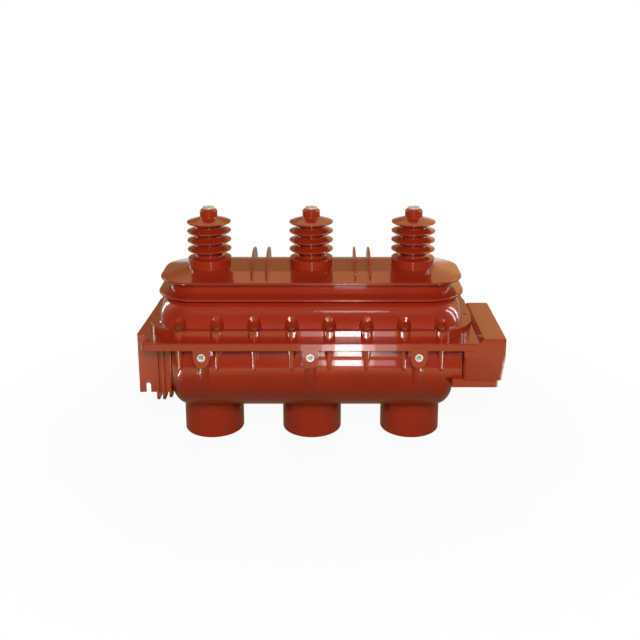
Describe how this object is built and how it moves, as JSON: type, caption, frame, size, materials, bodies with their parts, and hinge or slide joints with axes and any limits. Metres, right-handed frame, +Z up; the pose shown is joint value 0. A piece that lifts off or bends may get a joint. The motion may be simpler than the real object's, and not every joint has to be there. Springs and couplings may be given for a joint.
{
  "type": "gas insulated switch",
  "caption": "Three-pole three-position gas insulated switch in red-brown cast epoxy, with shed bushings, outlet shrouds, earthing lugs and a turning blade shaft.",
  "frame": {"origin": "middle of the base, at the plane the three outlet shrouds stand on", "axes": "+X towards the mechanism housing, +Y to the rear, +Z up through the bushings"},
  "size_m": [0.7204, 0.3512, 0.484],
  "materials": {
    "epoxy": "glossy cast epoxy, red-brown",
    "terminal_metal": "tin plated, satin",
    "copper": "bare contact copper, polished",
    "insert_brass": "turned brass",
    "zinc_steel": "zinc plated steel",
    "cast_alloy": "machined aluminium",
    "shaft_plastic": "glass-filled insulating bar, cream",
    "frame_plastic": "moulded insulating plastic, off-white",
    "seal_rubber": "black rubber"
  },
  "bodies": {
    "casing": {"upper_casing": "epoxy", "lower_casing": "epoxy", "casing_seal": "seal_rubber", "flange_screws": "zinc_steel", "flange_washers": "zinc_steel", "flange_inserts": "insert_brass", "locating_pins": "zinc_steel", "top_terminals": "terminal_metal", "upper_contacts": "copper", "lower_terminals": "terminal_metal", "lower_contacts": "copper", "lower_contact_screws": "zinc_steel", "earth_inserts": "terminal_metal", "earth_contacts": "copper", "left_bush": "insert_brass", "seal_housing": "cast_alloy", "shaft_seals": "seal_rubber", "spigot_seal": "seal_rubber", "seal_housing_screws": "zinc_steel", "arc_plates": "zinc_steel", "arc_frames": "frame_plastic", "rupture_gasket": "seal_rubber", "rupture_disc": "zinc_steel", "rupture_ring": "cast_alloy", "rupture_screws": "zinc_steel", "gas_valve": "insert_brass", "valve_cap": "frame_plastic", "desiccant_cartridge": "frame_plastic", "mechanism_inserts": "insert_brass"},
    "rotor": {"main_shaft": "shaft_plastic", "moving_blades": "copper", "blade_collars": "shaft_plastic", "blade_spacers": "copper", "disc_springs": "zinc_steel", "blade_bolts": "zinc_steel", "blade_nuts": "zinc_steel", "drive_lever": "zinc_steel", "lever_pin": "zinc_steel", "lever_washer": "zinc_steel", "lever_screw": "zinc_steel"}
  },
  "joints": [
    {"name": "switch_shaft", "type": "hinge", "parent": "casing", "child": "rotor", "pos_m": [-0.01725, -0.0044, 0.224], "axis": [1, 0, 0], "range_deg": [-45, 45]}
  ]
}
